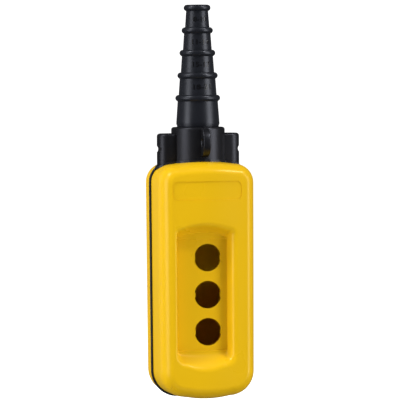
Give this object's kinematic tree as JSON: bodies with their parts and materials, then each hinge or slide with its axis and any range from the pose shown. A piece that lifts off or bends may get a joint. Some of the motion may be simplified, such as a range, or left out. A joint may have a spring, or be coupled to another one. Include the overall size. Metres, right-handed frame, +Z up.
{
  "type": "pendant control station",
  "caption": "Slim hand-held pendant control enclosure with a recessed operator panel of round cut-outs and a stepped cable sleeve it hangs by.",
  "frame": {"origin": "centre of the cable sleeve's top mouth, where the cable that carries the station enters", "axes": "+Z up along the sleeve, -Y out of the operators' panel, +X to the right as the operator sees it"},
  "size_m": [0.0828, 0.0643, 0.3204],
  "materials": {
    "yellow_plastic": "semi-gloss moulded polypropylene, fine grain",
    "black_plastic": "satin moulded plastic",
    "black_rubber": "satin elastomer",
    "zinc_steel": "zinc plated",
    "brass": "machined"
  },
  "bodies": {
    "front_assembly": {"front_shell": "yellow_plastic", "shell_gasket": "black_rubber", "cable_head": "black_plastic", "head_seal": "black_rubber", "cable_sleeve": "black_rubber", "sleeve_clamp_ring": "black_plastic", "clamp_nut_1": "zinc_steel", "clamp_nut_2": "zinc_steel", "threaded_insert_1": "brass", "threaded_insert_2": "brass", "threaded_insert_3": "brass", "threaded_insert_4": "brass"},
    "rear_cover": {"rear_shell": "yellow_plastic", "screw_seal_1": "black_rubber", "screw_seal_2": "black_rubber", "screw_seal_3": "black_rubber", "screw_seal_4": "black_rubber", "screw_retainer_1": "black_plastic", "screw_retainer_2": "black_plastic", "screw_retainer_3": "black_plastic", "screw_retainer_4": "black_plastic"},
    "saddle": {"clamp_saddle": "black_plastic"},
    "clamp_screw_left": {"clamp_screw_1": "zinc_steel"},
    "clamp_screw_right": {"clamp_screw_2": "zinc_steel"},
    "captive_screw_1": {"cover_screw_1": "zinc_steel"},
    "captive_screw_2": {"cover_screw_2": "zinc_steel"},
    "captive_screw_3": {"cover_screw_3": "zinc_steel"},
    "captive_screw_4": {"cover_screw_4": "zinc_steel"}
  },
  "joints": [
    {"name": "rear_cover_lift", "type": "slide", "parent": "front_assembly", "child": "rear_cover", "axis": [0, 1, 0], "range_m": [0, 0.06]},
    {"name": "clamp_screw_left_turn", "type": "hinge", "parent": "saddle", "child": "clamp_screw_left", "pos_m": [-0.014, 0, -0.1493], "axis": [0, 1, 0], "range_deg": [0, 3601]},
    {"name": "clamp_screw_right_turn", "type": "hinge", "parent": "saddle", "child": "clamp_screw_right", "pos_m": [0.014, 0, -0.1493], "axis": [0, 1, 0], "range_deg": [0, 3601]},
    {"name": "clamp_saddle_slide", "type": "slide", "parent": "front_assembly", "child": "saddle", "axis": [0, 1, 0], "range_m": [0, 0.007]},
    {"name": "cover_screw_1_turn", "type": "hinge", "parent": "rear_cover", "child": "captive_screw_1", "pos_m": [-0.0275, 0, -0.1447], "axis": [0, 1, 0], "continuous": true},
    {"name": "cover_screw_2_turn", "type": "hinge", "parent": "rear_cover", "child": "captive_screw_2", "pos_m": [0.0275, 0, -0.1447], "axis": [0, 1, 0], "continuous": true},
    {"name": "cover_screw_3_turn", "type": "hinge", "parent": "rear_cover", "child": "captive_screw_3", "pos_m": [-0.0275, 0, -0.3047], "axis": [0, 1, 0], "continuous": true},
    {"name": "cover_screw_4_turn", "type": "hinge", "parent": "rear_cover", "child": "captive_screw_4", "pos_m": [0.0275, 0, -0.3047], "axis": [0, 1, 0], "continuous": true}
  ],
  "couplings": [
    {"joint": "clamp_screw_left_turn", "follows": "clamp_saddle_slide", "rad_per_m": 8976},
    {"joint": "clamp_screw_right_turn", "follows": "clamp_saddle_slide", "rad_per_m": 8976}
  ]
}
